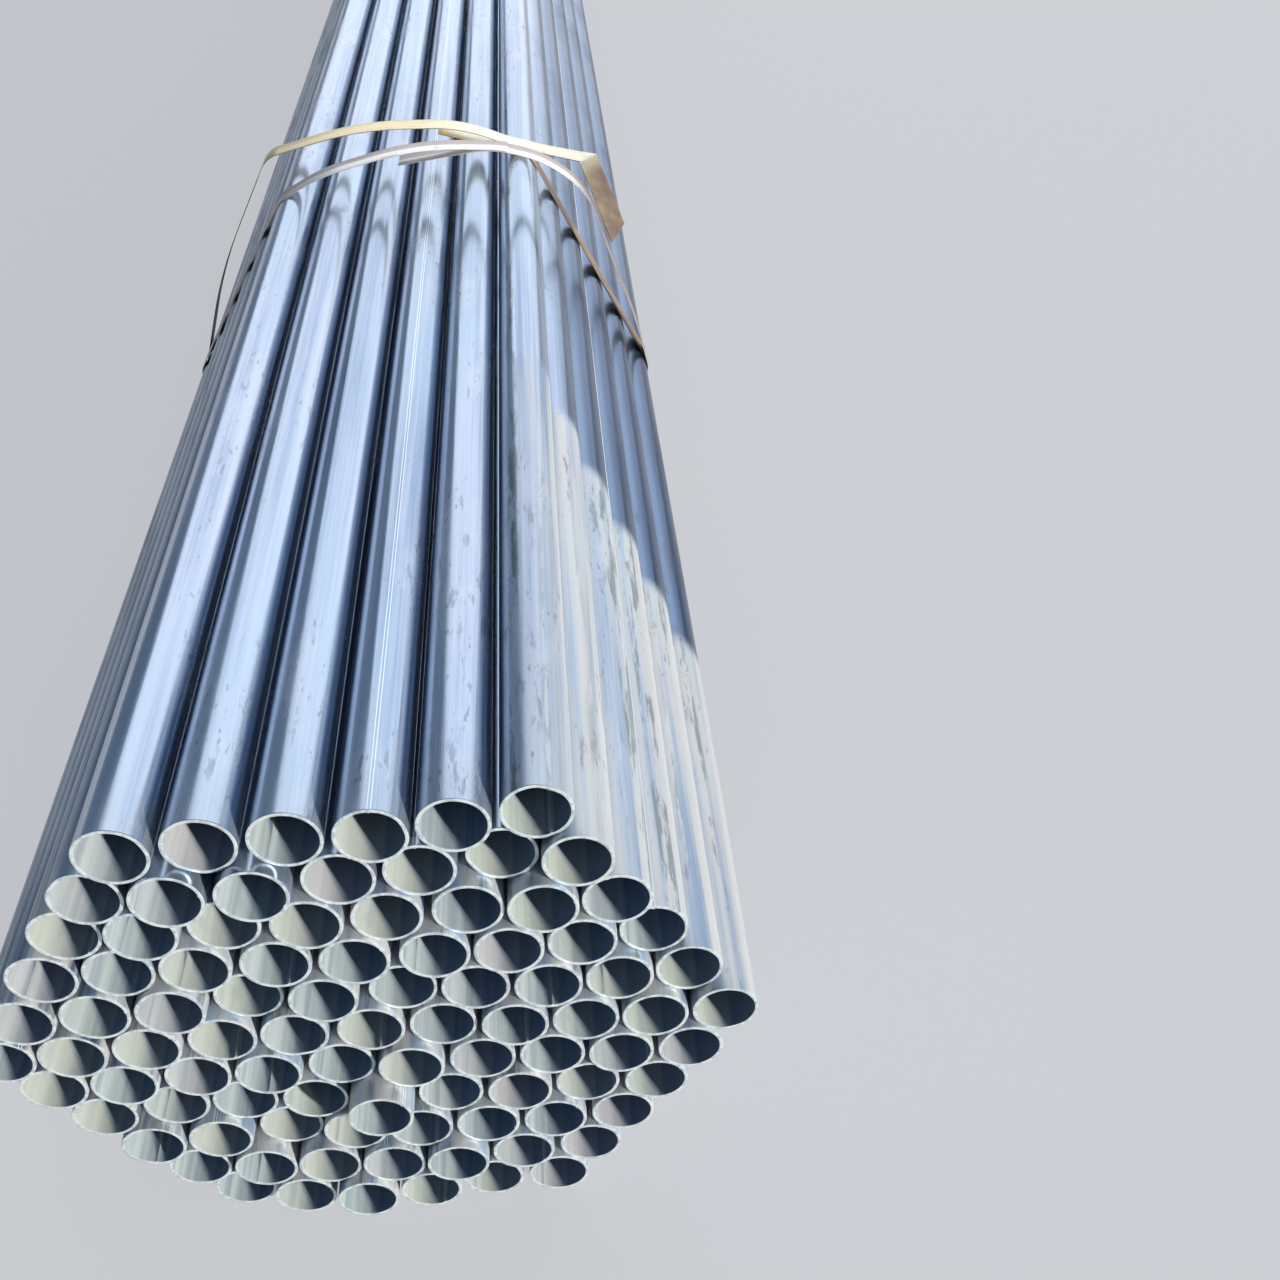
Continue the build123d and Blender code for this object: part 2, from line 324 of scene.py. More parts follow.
@dataclass(frozen=True)
class TubeSkin:
    """Bright rolled skin on the outside of the tubes, with streaks, smudges and handling marks, and with
    painted shade, a painted sunlit patch and painted seam highlights.
    """

    name: str = "bright_tube_skin"
    pale: Colour = (0.52, 0.58, 0.70)
    blue: Colour = (0.23, 0.31, 0.44)
    bloom: Colour = (0.66, 0.69, 0.79)
    aqua: Colour = (0.43, 0.56, 0.68)
    stain: Colour = (0.19, 0.23, 0.24)
    shade_slate: Colour = (0.13, 0.20, 0.31)
    shade_navy: Colour = (0.02, 0.05, 0.12)
    seam_highlight: Colour = (0.88, 0.91, 0.94)
    sunlit_weathered: Colour = (0.62, 0.61, 0.58)
    grime: Colour = (0.13, 0.14, 0.17)
    metal: float = 0.85
    polish: float = 0.10
    streaks: Grain = Grain((80.0, 1.3, 80.0), 4.0, 0.6)
    hairlines: Grain = Grain((620.0, 4.0, 620.0), 3.0, 0.6)
    smudges: Grain = Grain((14.0, 5.0, 14.0), 6.0, 0.62)
    specks: Grain = Grain((210.0, 60.0, 210.0), 2.0, 0.5)
    clouds: Grain = Grain((9.0, 2.2, 9.0), 3.0, 0.5)
    scuffs: Grain = Grain((170.0, 30.0, 170.0), 4.0, 0.62)
    flakes: Grain = Grain((95.0, 10.0, 95.0), 6.0, 0.7)
    flaking_lines: Grain = Grain((48.0, 0.7, 48.0), 1.0, 0.5)
    streak_relief: Relief = Relief(0.35, 0.5 * MM)
    hairline_relief: Relief = Relief(0.22, 0.12 * MM)
    mark_relief: Relief = Relief(0.35, 0.12 * MM)

    # From where to where in a noise its marks come up
    pale_streaks: Span = (0.32, 0.66)
    cream_streaks: Span = (0.36, 0.6)
    bright_hairlines: Span = (0.45, 0.75)
    aqua_clouds: Span = (0.4, 0.62)
    bloomed: Span = (0.52, 0.72)
    dulled: Span = (0.45, 0.7)
    specked: Span = (0.66, 0.74)
    specked_smudges: Span = (0.42, 0.6)
    scuffed: Span = (0.56, 0.66)
    scuffed_smudges: Span = (0.52, 0.6)
    flaked: Span = (0.50, 0.57)
    flaking: Span = (0.53, 0.58)

    # Where on the bundle the painted shade, the painted sunlit patch and the marks lie, in metres, and how
    # far they cover
    left_shade_end: Span = (-0.178, -0.142)
    left_cover: float = 0.96
    right_shade: Span = (0.150, 0.19)
    right_cover: float = 0.82
    right_flank: Span = (0.10, 0.17)
    patch_slope: float = 0.9
    patch_end: Span = (-2.84, -2.81)
    patch_cover: float = 0.85
    lip_band: Span = (-2.995, -2.94)
    lip_cover: float = 0.15
    mouth_band: Span = (-2.96, -2.86)
    mouth_band_top: Span = (0.36, 0.42)
    mouth_cover: float = 0.9
    stained_top: Span = (0.43, 0.445)
    stain_end: Span = (-1.9, -1.0)
    stain_middle: float = 0.119
    stain_reach: float = 9.0 * MM
    seam_middle: float = 1.1 * MM
    seam_reach: float = 0.6 * MM

    # How far a surface faces the left, or the right, where painted shade darkens it
    left_foot_shade_side: Span = (0.62, 0.84)
    navy_shade_side: Span = (0.12, 0.52)

    def material(self) -> bpy.types.Material:
        """Lay out the finish.

        Returns:
            The material of the outer skin.
        """
        material, plan = new_finish(self.name)
        place = plan.object_place()
        streaks = plan.noise(place, self.streaks)
        hairlines = plan.noise(place, self.hairlines)
        smudges = plan.noise(place, self.smudges)
        clouds = plan.noise(place, self.clouds)
        specks = plan.noise(place, self.specks).rise(*self.specked) * smudges.rise(*self.specked_smudges)
        scuffs = plan.noise(place, self.scuffs).rise(*self.scuffed) * smudges.rise(*self.scuffed_smudges)
        flakes = plan.noise(place, self.flakes).rise(*self.flaked)
        flaking_lines = plan.noise(place, self.flaking_lines).rise(*self.flaking)
        facing_right = plan.facing_right()
        # Painted shade on surfaces that face left, at the foot of each tube beside the gap
        left_foot_shade = (facing_right * -1.0).rise(*self.left_foot_shade_side) * 0.9
        weather_and_sunlight = self._weather_and_sunlight(plan, place)
        painted_shade = self._painted_shade(plan, place)
        flaked = weather_and_sunlight * flaking_lines + self._stain(plan, place)
        seam = self._seam(plan)

        pale_share = streaks.rise(*self.pale_streaks) * 0.75 + plan.stored(TONE) * 0.25
        colour = plan.coats(plan.blend(pale_share, self.blue, self.pale), [
            (hairlines.rise(*self.bright_hairlines) * 0.35, self.bloom),
            (clouds.rise(*self.aqua_clouds) * 0.4, self.aqua),
            (smudges.rise(*self.bloomed) * 0.5, self.bloom),
            # Painted shade: slate on the left side, on the right side behind the sunlit patch, and on
            # surfaces that face left
            (painted_shade.larger(left_foot_shade), self.shade_slate),
            # Painted shade: dark navy on surfaces that face right, where the painted shade lies
            (painted_shade * facing_right.rise(*self.navy_shade_side) * 0.85, self.shade_navy),
            # Cream weathering and painted sunlight: the sunlit patch on the right flank and the lit ends
            # near the mouths
            (weather_and_sunlight * streaks.rise(*self.cream_streaks), self.sunlit_weathered),
            (flaked * flakes * 0.9, self.stain),
            (scuffs * 0.45, self.grime),
            (specks * 0.5, self.grime),
            # The scarfed weld seam, coloured near white as a painted highlight line
            (seam * 0.85, self.seam_highlight),
        ])
        shine = self.polish + streaks * 0.10 + smudges.rise(*self.dulled) * 0.12 + hairlines * 0.05
        relief = plan.relief(streaks, self.streak_relief)
        relief = plan.relief(hairlines, self.hairline_relief, relief)
        plan.finish({
            "Base Color": colour,
            "Metallic": self.metal - weather_and_sunlight * 0.55,
            "Roughness": shine + painted_shade * 0.08 + weather_and_sunlight * 0.30,
            "Normal": plan.relief(seam + scuffs, self.mark_relief, relief),
        })
        return material

    def _weather_and_sunlight(self, plan: NodePlan, place: Wire) -> Wire:
        """Share of cream weathering and painted sunlight, which is on the right flank as a painted sunlit
        patch and on all tubes near the front mouths.

        Args:
            plan: Plan of the finish.
            place: Object coordinates.

        Returns:
            The share, from 0 to 1.
        """
        on_flank = plan.axis(place, "X").rise(*self.right_flank)
        in_patch = 1.0 - self._past_patch(plan, place)
        below_top = 1.0 - plan.axis(place, "Z").rise(*self.mouth_band_top)
        at_mouths = 1.0 - plan.axis(place, "Y").rise(*self.mouth_band)
        at_lips = 1.0 - plan.axis(place, "Y").rise(*self.lip_band)
        patch = on_flank * in_patch * self.patch_cover
        lips = at_lips * self.lip_cover
        mouths = below_top * at_mouths * self.mouth_cover
        return patch.larger(lips).larger(mouths)

    def _past_patch(self, plan: NodePlan, place: Wire) -> Wire:
        """Share of what lies behind the painted sunlit patch on the right side, whose end slopes.

        Args:
            plan: Plan of the finish.
            place: Object coordinates.

        Returns:
            The share, from 0 to 1.
        """
        reach = plan.axis(place, "Y") - plan.axis(place, "Z") * self.patch_slope
        return reach.rise(*self.patch_end)

    def _painted_shade(self, plan: NodePlan, place: Wire) -> Wire:
        """Share of painted shade: a duller blue on the left side, and on the right side far from the front
        mouths, behind the painted sunlit patch.

        Args:
            plan: Plan of the finish.
            place: Object coordinates.

        Returns:
            The share, from 0 to 1.
        """
        across = plan.axis(place, "X")
        left = 1.0 - across.rise(*self.left_shade_end)
        right = across.rise(*self.right_shade) * self._past_patch(plan, place)
        return left * self.left_cover + right * self.right_cover

    def _stain(self, plan: NodePlan, place: Wire) -> Wire:
        """Share of the mottled stain down the left side of the last top tube.

        Args:
            plan: Plan of the finish.
            place: Object coordinates.

        Returns:
            The share, from 0 to 1.
        """
        on_top = plan.axis(place, "Z").rise(*self.stained_top)
        near_mouths = 1.0 - plan.axis(place, "Y").rise(*self.stain_end)
        return plan.axis(place, "X").band(self.stain_middle, self.stain_reach) * on_top * near_mouths

    def _seam(self, plan: NodePlan) -> Wire:
        """Two fine lines of the scarfed weld along the tube."""
        return abs(plan.mapped(AROUND_ALONG, "X")).band(self.seam_middle, self.seam_reach)


@dataclass(frozen=True)
class BoreSkin:
    """Dull grey-green wall inside the tubes, with painted shadow further in where the rim shades it from the
    key lamp, and painted shade on the side that faces left.
    """

    name: str = "dull_bore_wall"
    pale: Colour = (0.43, 0.48, 0.48)
    dull: Colour = (0.27, 0.32, 0.35)
    warm: Colour = (0.48, 0.44, 0.45)
    sage: Colour = (0.47, 0.49, 0.42)
    painted_shadow: Colour = (0.02, 0.06, 0.15)
    lit_reach: float = 42.0 * MM
    metal: float = 0.05
    specular: float = 0.2
    streaks: Grain = Grain((110.0, 3.0, 110.0), 3.0, 0.55)
    blotches: Grain = Grain((60.0, 25.0, 60.0), 5.0, 0.6)
    streak_relief: Relief = Relief(0.3, 0.4 * MM)
    pale_streaks: Span = (0.35, 0.62)
    dull_blotches: Span = (0.58, 0.7)
    warm_tones: Span = (0.55, 1.0)
    sage_tones: Span = (0.1, 0.45)
    rim_shadow_edge: Span = (-2.0 * MM, 10.0 * MM)
    lee_shade_edge: Span = (-0.15, 0.35)
    weld_reach: float = 4.0 * MM

    def material(self) -> bpy.types.Material:
        """Lay out the finish.

        Returns:
            The material of the bore.
        """
        material, plan = new_finish(self.name)
        place = plan.object_place()
        tone = plan.stored(TONE)
        streaks = plan.noise(place, self.streaks)
        blotches = plan.noise(place, self.blotches)
        facing_right = plan.facing_right()
        along = plan.mapped(AROUND_ALONG, "Y")
        depth = along.smaller(TUBE_LENGTH - along)
        # Painted shadow of the rim beyond the depth that the key lamp reaches, and painted shade on walls
        # that face left
        rim_shadow = (depth - facing_right * self.lit_reach).rise(*self.rim_shadow_edge) * 0.74
        lee_shade = (facing_right * -1.0).rise(*self.lee_shade_edge) * 0.88
        weld = plan.mapped(AROUND_ALONG, "X").band(0.0, self.weld_reach)
        colour = plan.coats(plan.blend(streaks.rise(*self.pale_streaks), self.dull, self.pale), [
            (tone.rise(*self.warm_tones) * 0.55, self.warm),
            ((1.0 - tone.rise(*self.sage_tones)) * 0.7, self.sage),
            (blotches.rise(*self.dull_blotches) * 0.35, self.dull),
            (rim_shadow.larger(lee_shade), self.painted_shadow),
            (weld * 0.5, self.dull),
        ])
        plan.finish({
            "Base Color": colour,
            "Metallic": self.metal,
            "Roughness": 0.5 + blotches * 0.2,
            "Specular IOR Level": self.specular,
            "Normal": plan.relief(streaks, self.streak_relief),
        })
        return material


@dataclass(frozen=True)
class CutSteel:
    """Bright sawn face at the ends of the tubes, with saw lines and a few dull spots."""

    name: str = "sawn_tube_end"
    bright: Colour = (0.68, 0.73, 0.72)
    dull: Colour = (0.44, 0.50, 0.52)
    metal: float = 0.5
    saw_lines: Grain = Grain((160.0, 20.0, 2400.0), 2.0, 0.5)
    spots: Grain = Grain((170.0, 170.0, 170.0), 3.0, 0.6)
    saw_relief: Relief = Relief(0.3, 0.06 * MM)
    dull_spots: Span = (0.42, 0.62)

    def material(self) -> bpy.types.Material:
        """Lay out the finish.

        Returns:
            The material of the cut ends.
        """
        material, plan = new_finish(self.name)
        place = plan.object_place()
        saw_lines = plan.noise(place, self.saw_lines)
        spots = plan.noise(place, self.spots)
        plan.finish({
            "Base Color": plan.blend(spots.rise(*self.dull_spots), self.bright, self.dull),
            "Metallic": self.metal,
            "Roughness": 0.34 + spots * 0.2,
            "Normal": plan.relief(saw_lines, self.saw_relief),
        })
        return material


@dataclass(frozen=True)
class StrapFinish:
    """Lacquered strapping steel, rolled lengthwise, worn at bends and rusty in places.

    The colours light, body and worn are those of the top, painted as if lit, of the sides and of the rolled
    lines. Where they are given, trim is laid along the front edge, brighter on the painted lit top, and a
    painted sheen lies towards the right on top.
    """

    name: str
    light: Colour
    body: Colour
    worn: Colour
    rust: Colour = (0.20, 0.10, 0.055)
    trim: Union[Colour, None] = None
    right_sheen: Union[Colour, None] = None
    metal: float = 0.85
    rust_share: float = 0.35
    top_edge: Span = (0.445, 0.475)
    trim_edge: Span = (0.42, 0.54)
    right_sheen_edge: Span = (-0.02, 0.12)
    rolled: Grain = Grain((5.0, 420.0, 5.0), 3.0, 0.55)
    patches: Grain = Grain((22.0, 40.0, 22.0), 5.0, 0.6)
    grains: Grain = Grain((480.0, 480.0, 480.0), 3.0, 0.6)
    rolled_relief: Relief = Relief(0.25, 0.1 * MM)
    grain_relief: Relief = Relief(0.15, 0.08 * MM)
    light_patches: Span = (0.36, 0.64)
    worn_lines: Span = (0.5, 0.68)
    rusty_patches: Span = (0.56, 0.68)
    rusty_grains: Span = (0.44, 0.6)

    def material(self) -> bpy.types.Material:
        """Lay out the finish, once for all straps that share it.

        Returns:
            The material of the strap.
        """
        made = bpy.data.materials.get(self.name)
        if made:
            return made
        material, plan = new_finish(self.name)
        place = plan.object_place()
        rolled = plan.noise(place, self.rolled)
        patches = plan.noise(place, self.patches)
        grains = plan.noise(place, self.grains)
        # Painted light: the top of each strap gets the lighter colour and the worn lines, as if lit from
        # above
        lit_top = plan.axis(place, "Z").rise(*self.top_edge)
        rust = patches.rise(*self.rusty_patches) * grains.rise(*self.rusty_grains) * self.rust_share

        light_share = patches.rise(*self.light_patches) * 0.35 + lit_top * 0.65
        coats = [(rolled.rise(*self.worn_lines) * lit_top * 0.55, self.worn)]
        if self.trim:
            front = plan.mapped(FRONT_SHARE, "X").rise(*self.trim_edge)
            coats.append((front * (lit_top * 0.7 + 0.25), self.trim))
        # Painted sheen: the top of the strap paler towards the right
        if self.right_sheen:
            towards_right = plan.axis(place, "X").rise(*self.right_sheen_edge)
            coats.append((towards_right * lit_top * 0.75, self.right_sheen))
        coats.append((rust, self.rust))
        relief = plan.relief(rolled, self.rolled_relief)
        plan.finish({
            "Base Color": plan.coats(plan.blend(light_share, self.body, self.light), coats),
            "Metallic": self.metal,
            "Roughness": 0.30 + patches * 0.18 + rust * 0.4,
            "Normal": plan.relief(grains, self.grain_relief, relief),
        })
        return material


class StrapKind(Enum):
    """The strapping on the bundle, by its lacquer."""

    GOLDEN = StrapFinish(
        "golden_strap_lacquer", light=(0.93, 0.76, 0.40), body=(0.46, 0.31, 0.23), worn=(0.95, 0.89, 0.70),
        right_sheen=(0.94, 0.93, 0.83),
    )
    # The edges of the golden strap are dark on top as a painted shade line, and tan below
    GOLDEN_EDGE = StrapFinish(
        "golden_strap_edge", light=(0.26, 0.20, 0.13), body=(0.62, 0.46, 0.25), worn=(0.40, 0.32, 0.20),
    )
    SILVERY = StrapFinish(
        "silvery_strap_lacquer", light=(0.55, 0.46, 0.42), body=(0.38, 0.28, 0.25), worn=(0.66, 0.58, 0.54),
        trim=(0.98, 0.93, 0.86),
    )
    SILVERY_EDGE = StrapFinish(
        "silvery_strap_edge", light=(0.90, 0.84, 0.78), body=(0.48, 0.37, 0.30), worn=(0.94, 0.90, 0.85),
    )
    PLAIN = StrapFinish(
        "plain_strap_steel", light=(0.52, 0.47, 0.43), body=(0.30, 0.24, 0.22), worn=(0.62, 0.60, 0.56),
    )
    SEAL = StrapFinish(
        "crimped_seal_steel", light=(0.58, 0.58, 0.57), body=(0.38, 0.37, 0.37), worn=(0.66, 0.66, 0.64),
    )
    EDGE = StrapFinish(
        "sheared_strap_edge", light=(0.20, 0.15, 0.12), body=(0.12, 0.09, 0.08), worn=(0.34, 0.28, 0.24),
    )


def new_object(name: str, data: bpy.types.ID) -> bpy.types.Object:
    """Put an object into the scene.

    Args:
        name: Name of the object.
        data: Its mesh, lamp or camera.

    Returns:
        The object.
    """
    placed = bpy.data.objects.new(name, data)
    bpy.context.scene.collection.objects.link(placed)
    return placed


def new_mesh(name: str, shape: bmesh.types.BMesh) -> bpy.types.Mesh:
    """Turn a finished shape into a mesh.

    Args:
        name: Name of the mesh.
        shape: The shape, which is used up.

    Returns:
        The mesh.
    """
    mesh = bpy.data.meshes.new(name)
    shape.to_mesh(mesh)
    shape.free()
    return mesh


def packed_shape(node: str) -> bmesh.types.BMesh:
    """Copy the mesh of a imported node, with its doubled points merged.

    Args:
        node: Name of the node.

    Returns:
        The copy.
    """
    shape = bmesh.new()
    shape.from_mesh(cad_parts[node].data)
    bmesh.ops.remove_doubles(shape, verts=shape.verts[:], dist=SAME_POINT)
    return shape


def cut_across(shape: bmesh.types.BMesh, place: Triple, normal: Triple, snap: float = 0.0) -> None:
    """Cut new edges into a shape where a plane crosses it.

    Args:
        shape: The shape.
        place: A point of the plane.
        normal: Direction square to the plane.
        snap: Points this near to the plane count as on it.
    """
    everything = shape.verts[:] + shape.edges[:] + shape.faces[:]
    bmesh.ops.bisect_plane(shape, geom=everything, dist=snap, plane_co=place, plane_no=normal)


def break_edges(shape: bmesh.types.BMesh, offset: float) -> None:
    """Break the sharp edges of a shape and shade the rest smooth.

    Args:
        shape: The shape.
        offset: How far the break reaches from the edge.
    """
    sharp = [edge for edge in shape.edges if edge.calc_face_angle(0.0) > SHARP_ANGLE]
    bmesh.ops.bevel(
        shape, geom=sharp, offset=offset, offset_type="OFFSET", affect="EDGES",
        segments=2, profile=0.5, material=-1, clamp_overlap=True,
    )
    for face in shape.faces:
        face.smooth = True
    for edge in shape.edges:
        edge.smooth = edge.calc_face_angle(0.0) < SMOOTH_ANGLE


def dressed_piece(
    shape: bmesh.types.BMesh, node: str, finishes: list[bpy.types.Material]
) -> bpy.types.Object:
    """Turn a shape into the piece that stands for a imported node.

    Args:
        shape: The finished shape, which is used up.
        node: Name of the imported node.
        finishes: Materials, in the order of the material numbers of the faces.

    Returns:
        The piece, riding on the bundle.
    """
    name = node + "_dressed"
    piece = new_object(name, new_mesh(name, shape))
    for finish in finishes:
        piece.data.materials.append(finish)
    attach(piece, "root")
    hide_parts(node)
    return piece


class WallSide(Enum):
    """Material numbers of the faces of a tube."""

    OUTSIDE = 0
    BORE = 1
    CUT_END = 2


@dataclass(frozen=True)
class TubePlace:
    """Where one tube lies: its axis and its two ends, in metres."""

    x: float
    z: float
    front: float
    back: float


@dataclass
class TubeWall:
    """The wall of one tube, the same for all of them."""

    radius: float = 24.15 * MM
    thickness: float = 2.6 * MM
    length: float = TUBE_LENGTH
    sides: int = 48
    rim_break: float = 0.4 * MM
    bead_height: float = 0.8 * MM
    bead_reach: float = 1.7 * MM
    bore_margin: float = 0.1 * MM
    end_facing: float = 0.5
    stations: tuple[float, ...] = (1.2 * MM, 8.0 * MM, 20.0 * MM, 40.0 * MM)

    def build(self) -> bpy.types.Mesh:
        """Spin the wall with its rims and the weld bead in its bore.

        Returns:
            A mesh along +Y from the origin, its weld towards +X.
        """
        wall = bmesh.new()
        self._spin(wall)
        self._sort_faces(wall)
        self._raise_bead(wall)
        break_edges(wall, self.rim_break)
        for station in self.stations:
            for along in (station, self.length - station):
                cut_across(wall, (0.0, along, 0.0), (0.0, 1.0, 0.0))
        self._unroll(wall)
        wall.verts.layers.float.new(TONE)
        return new_mesh("tube_wall", wall)

    def _spin(self, wall: bmesh.types.BMesh) -> None:
        """Spin the cut through the wall to a closed tube.

        Args:
            wall: The empty mesh of the wall.
        """
        cut = bmesh.ops.create_grid(wall, x_segments=1, y_segments=1, size=0.5)["verts"]
        bmesh.ops.scale(wall, verts=cut, vec=(self.thickness, self.length, 1.0))
        middle = (self.radius - self.thickness / 2, self.length / 2, 0.0)
        bmesh.ops.translate(wall, verts=cut, vec=middle)
        bmesh.ops.delete(wall, geom=wall.faces[:], context="FACES_ONLY")
        bmesh.ops.spin(
            wall, geom=wall.verts[:] + wall.edges[:], cent=(0.0, 0.0, 0.0), axis=(0.0, 1.0, 0.0),
            dvec=(0.0, 0.0, 0.0), angle=2 * math.pi, steps=self.sides, use_merge=True, use_duplicate=False,
        )
        bmesh.ops.remove_doubles(wall, verts=wall.verts[:], dist=0.01 * MM)
        bmesh.ops.recalc_face_normals(wall, faces=wall.faces[:])

    def _sort_faces(self, wall: bmesh.types.BMesh) -> None:
        """Give the outer skin, the bore and the cut ends their material numbers.

        Args:
            wall: Mesh of the wall.
        """
        for face in wall.faces:
            middle = face.calc_center_median()
            outward = face.normal.x * middle.x + face.normal.z * middle.z
            side = WallSide.OUTSIDE if outward > 0 else WallSide.BORE
            if abs(face.normal.y) > self.end_facing:
                side = WallSide.CUT_END
            face.material_index = side.value

    def _raise_bead(self, wall: bmesh.types.BMesh) -> None:
        """Raise the weld bead along the bore, at the +X side.

        Args:
            wall: Mesh of the wall.
        """
        bore = self.radius - self.thickness
        step = 2 * math.pi / self.sides
        for vert in wall.verts:
            angle = math.atan2(vert.co.z, vert.co.x)
            outside = math.hypot(vert.co.x, vert.co.z) > bore + self.bore_margin
            if outside or abs(angle) > 1.5 * step:
                continue
            if abs(angle) < step / 2:
                vert.co.x -= self.bead_height
            else:
                near = math.copysign(self.bead_reach / bore, angle)
                vert.co.x = bore * math.cos(near)
                vert.co.z = bore * math.sin(near)

    def _unroll(self, wall: bmesh.types.BMesh) -> None:
        """Lay a UV map in metres: round the tube from its weld, and along it.

        Args:
            wall: Mesh of the wall.
        """
        layer = wall.loops.layers.uv.new(AROUND_ALONG)
        for face in wall.faces:
            middle = face.calc_center_median()
            facing = math.atan2(middle.z, middle.x)
            for loop in face.loops:
                angle = math.atan2(loop.vert.co.z, loop.vert.co.x)
                angle -= 2 * math.pi * round((angle - facing) / (2 * math.pi))
                loop[layer].uv = (angle * self.radius, loop.vert.co.y)


@dataclass
class TubeRow:
    """One row of tubes of the stack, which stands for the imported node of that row."""

    number: int
    wall: bpy.types.Mesh
    skins: list[bpy.types.Material]
    first_seed: int = 700
    dent_share: float = 0.3
    dent_depth: float = 0.9 * MM
    least_dent: float = 0.3
    dent_reach: float = 0.35
    dent_fade: float = 22.0 * MM
    # This tube's weld is turned to the top, where its painted seam highlight shows
    shown_weld: tuple[int, int] = (1, 4)
    shown_weld_turn: float = math.radians(-86.0)

    @property
    def node(self) -> str:
        """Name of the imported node."""
        return f"tubes_row_{self.number:02d}"

    def places(self) -> list[TubePlace]:
        """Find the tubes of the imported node.

        Returns:
            The place of each tube, from the left.
        """
        packed = packed_shape(self.node)
        waiting = set(packed.verts)
        found = []
        while waiting:
            tube = self._joined_to(waiting.pop())
            waiting -= tube
            xs, ys, zs = zip(*(vert.co for vert in tube))
            axis = ((min(xs) + max(xs)) / 2, (min(zs) + max(zs)) / 2)
            found.append(TubePlace(*axis, min(ys), max(ys)))
        packed.free()
        return sorted(found, key=lambda place: place.x)

    @staticmethod
    def _joined_to(start: bmesh.types.BMVert) -> set[bmesh.types.BMVert]:
        """Follow the edges from a point.

        Args:
            start: A point of one tube.

        Returns:
            All points of that tube.
        """
        tube = {start}
        waiting = [start]
        while waiting:
            vert = waiting.pop()
            for edge in vert.link_edges:
                other = edge.other_vert(vert)
                if other not in tube:
                    tube.add(other)
                    waiting.append(other)
        return tube

    def build(self) -> bpy.types.Object:
        """Lay the tubes of the row into their places.

        Returns:
            The piece, riding on the bundle.
        """
        chance = random.Random(self.first_seed + self.number)
        row = bmesh.new()
        for index, place in enumerate(self.places(), start=1):
            known = len(row.verts)
            row.from_mesh(self.wall)
            row.verts.ensure_lookup_table()
            tube = row.verts[known:]
            layer = row.verts.layers.float[TONE]
            tone = chance.random()
            for vert in tube:
                vert[layer] = tone
            turn = chance.uniform(0.0, 2 * math.pi)
            if (self.number, index) == self.shown_weld:
                turn = self.shown_weld_turn
            bmesh.ops.transform(row, matrix=Matrix.Rotation(turn, 4, "Y"), verts=tube)
            for mouth in (0.0, place.back - place.front):
                if chance.random() < self.dent_share:
                    self._dent(tube, mouth, chance)
            bmesh.ops.translate(row, verts=tube, vec=(place.x, place.front, place.z))
        return dressed_piece(row, self.node, self.skins)

    def _dent(self, tube: list[bmesh.types.BMVert], mouth: float, chance: random.Random) -> None:
        """Knock a shallow dent into the lip of a mouth.

        Args:
            tube: The vertices of the tube, its axis on Y.
            mouth: Where the mouth is along Y.
            chance: The row's own random numbers.
        """
        angle = chance.uniform(-math.pi, math.pi)
        depth = chance.uniform(self.least_dent, 1.0) * self.dent_depth
        for vert in tube:
            away = abs(vert.co.y - mouth)
            if away > self.dent_fade:
                continue
            turn = math.atan2(vert.co.z, vert.co.x) - angle
            turn = (turn + math.pi) % (2 * math.pi) - math.pi
            share = max(0.0, 1.0 - (turn / self.dent_reach) ** 2) * (1.0 - away / self.dent_fade)
            out = Vector((vert.co.x, 0.0, vert.co.z)).normalized()
            vert.co -= out * depth * share


@dataclass(frozen=True)
class Crimps:
    """Notches pressed into both edges of a seal and of the two plies that it holds."""

    places: tuple[float, ...] = (-9.0 * MM, 9.0 * MM)
    depth: float = 2.4 * MM
    reach: float = 2.5 * MM
    edge_strip: float = 1.5 * MM
    lowest: float = 455.0 * MM
    on_notch: float = 0.05 * MM

    def press(self, strip: bmesh.types.BMesh) -> None:
        """Press the notches.

        Args:
            strip: The seal or the strap, whose lap lies across X on top of the bundle.
        """
        for middle in self.places:
            for step in (-self.reach, 0.0, self.reach):
                cut_across(strip, (middle + step, 0.0, 0.0), (1.0, 0.0, 0.0), SAME_POINT)
        heart = sum(vert.co.y for vert in strip.verts) / len(strip.verts)
        half_width = max(abs(vert.co.y - heart) for vert in strip.verts)
        for vert in strip.verts:
            aside = vert.co.y - heart
            at_edge = vert.co.z > self.lowest and abs(aside) > half_width - self.edge_strip
            if at_edge and min(abs(vert.co.x - middle) for middle in self.places) < self.on_notch:
                vert.co.y -= math.copysign(self.depth, aside)


